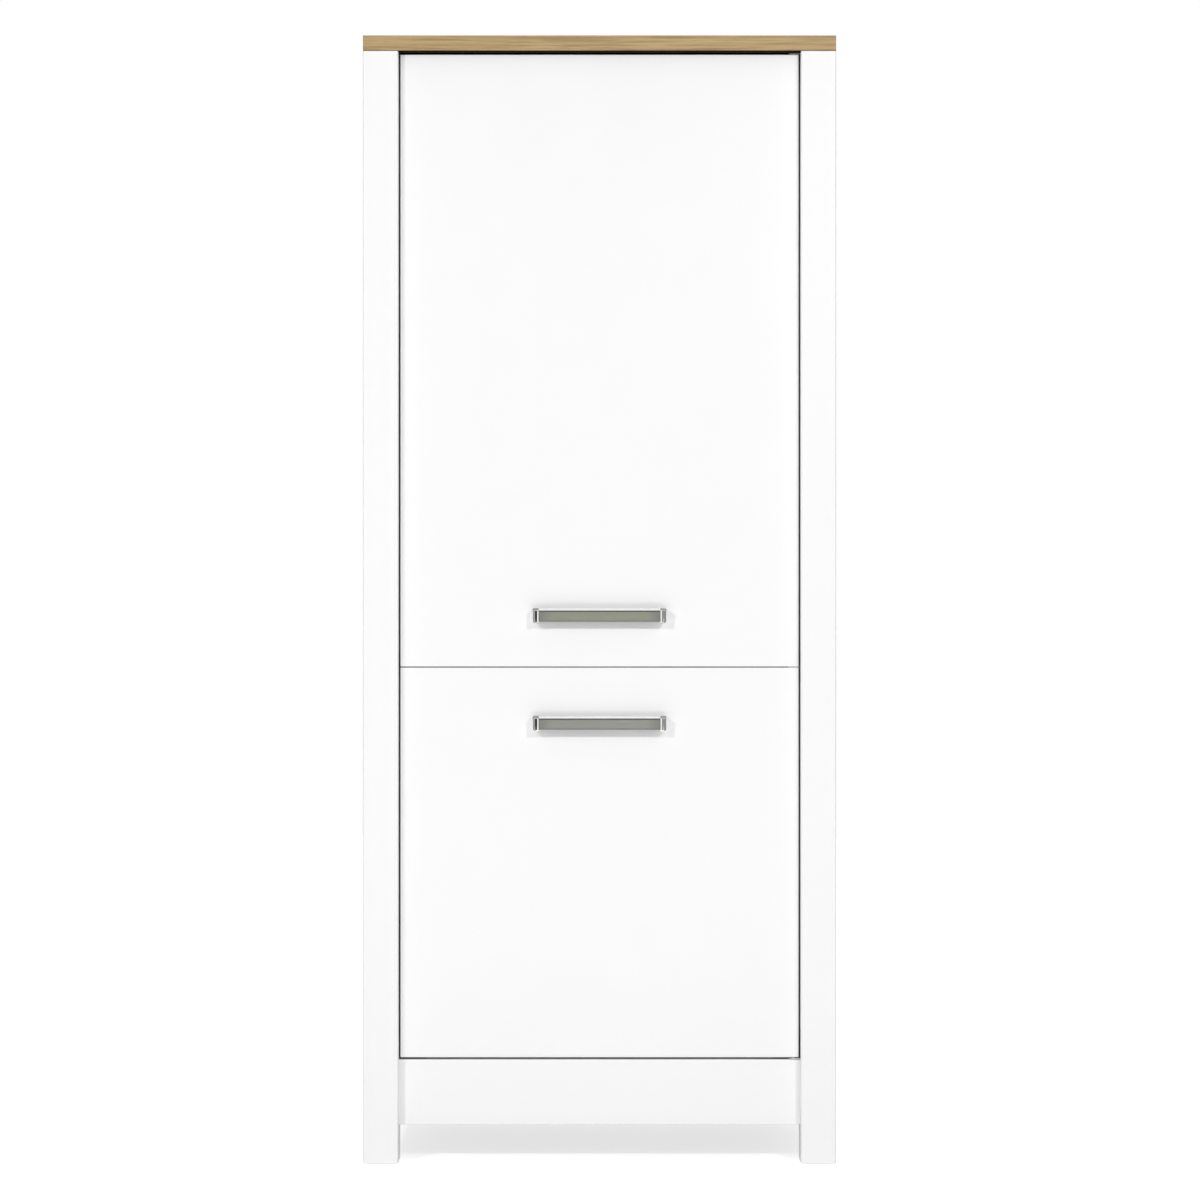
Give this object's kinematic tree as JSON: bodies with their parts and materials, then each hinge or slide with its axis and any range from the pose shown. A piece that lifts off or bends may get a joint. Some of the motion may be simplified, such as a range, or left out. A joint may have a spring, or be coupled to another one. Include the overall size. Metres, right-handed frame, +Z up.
{
  "type": "tall appliance cabinet",
  "caption": "Tall kitchen cabinet for a built-in appliance, with corner posts, a wooden top board, an upper and a lower hinged door with flat bar handles, and a plinth.",
  "frame": {"origin": "on the floor, in the middle of the bounding box's footprint", "axes": "+Z up, the doors face -Y, +X to the viewer's right"},
  "size_m": [0.7, 0.606, 1.67],
  "materials": {
    "white_lacquer": "satin white lacquer on board",
    "door_lacquer": "satin white lacquer on board",
    "oak_board": "matt, straight grain along the width",
    "graphite_film": "fine-textured graphite facing",
    "hardboard": "painted graphite in front, raw behind",
    "handle_bar_metal": "satin, brushed lengthwise",
    "handle_chrome": "polished",
    "zinc_plate": "zinc plated sheet",
    "bright_steel": "drawn, bright",
    "screw_zinc": "zinc plated",
    "cast_zinc": "as cast",
    "beech": "turned, fluted",
    "grey_plastic": "moulded",
    "white_plastic": "moulded",
    "nylon": "moulded",
    "magnet": "ground",
    "clear_rubber": "soft, clear"
  },
  "bodies": {
    "cabinet": {"adjustable_shelf": "graphite_film", "appliance_shelf": "graphite_film", "back_panel_screws": "screw_zinc", "cam_bolts": "bright_steel", "cam_locks": "cast_zinc", "carcass_bottom": "graphite_film", "catch_housings": "white_plastic", "catch_magnets": "magnet", "catch_screws": "screw_zinc", "dowels": "beech", "front_top_rail": "graphite_film", "left_carcass_side": "graphite_film", "left_cheek_panel": "white_lacquer", "left_front_post": "white_lacquer", "left_rear_post": "white_lacquer", "lower_back_panel": "hardboard", "niche_rear_rail": "graphite_film", "pivot_leaves": "zinc_plate", "pivot_pins": "bright_steel", "pivot_screws": "screw_zinc", "plinth_board": "white_lacquer", "plinth_brackets": "zinc_plate", "plinth_screws": "screw_zinc", "post_glides": "grey_plastic", "post_screws": "screw_zinc", "rail_screws": "screw_zinc", "rear_top_rail": "graphite_film", "right_carcass_side": "graphite_film", "right_cheek_panel": "white_lacquer", "right_front_post": "white_lacquer", "right_rear_post": "white_lacquer", "shelf_pins": "bright_steel", "top_board": "oak_board", "top_screws": "screw_zinc", "wall_bracket": "zinc_plate", "wall_bracket_screws": "screw_zinc"},
    "upper_door": {"upper_door": "door_lacquer", "upper_door_bumpers": "clear_rubber", "upper_handle_bar": "handle_bar_metal", "upper_handle_ends": "handle_chrome", "upper_handle_screws": "screw_zinc", "upper_pivot_bushes": "nylon", "upper_strike_plate": "zinc_plate", "upper_strike_screws": "screw_zinc"},
    "lower_door": {"lower_door": "door_lacquer", "lower_door_bumpers": "clear_rubber", "lower_handle_bar": "handle_bar_metal", "lower_handle_ends": "handle_chrome", "lower_handle_screws": "screw_zinc", "lower_pivot_bushes": "nylon", "lower_strike_plate": "zinc_plate", "lower_strike_screws": "screw_zinc"}
  },
  "joints": [
    {"name": "upper_door_swing", "type": "hinge", "parent": "cabinet", "child": "upper_door", "pos_m": [0.2876, -0.269, 1.1904], "axis": [0, 0, 1], "range_deg": [0, 95]},
    {"name": "lower_door_swing", "type": "hinge", "parent": "cabinet", "child": "lower_door", "pos_m": [0.2876, -0.269, 0.4455], "axis": [0, 0, 1], "range_deg": [0, 95]}
  ]
}
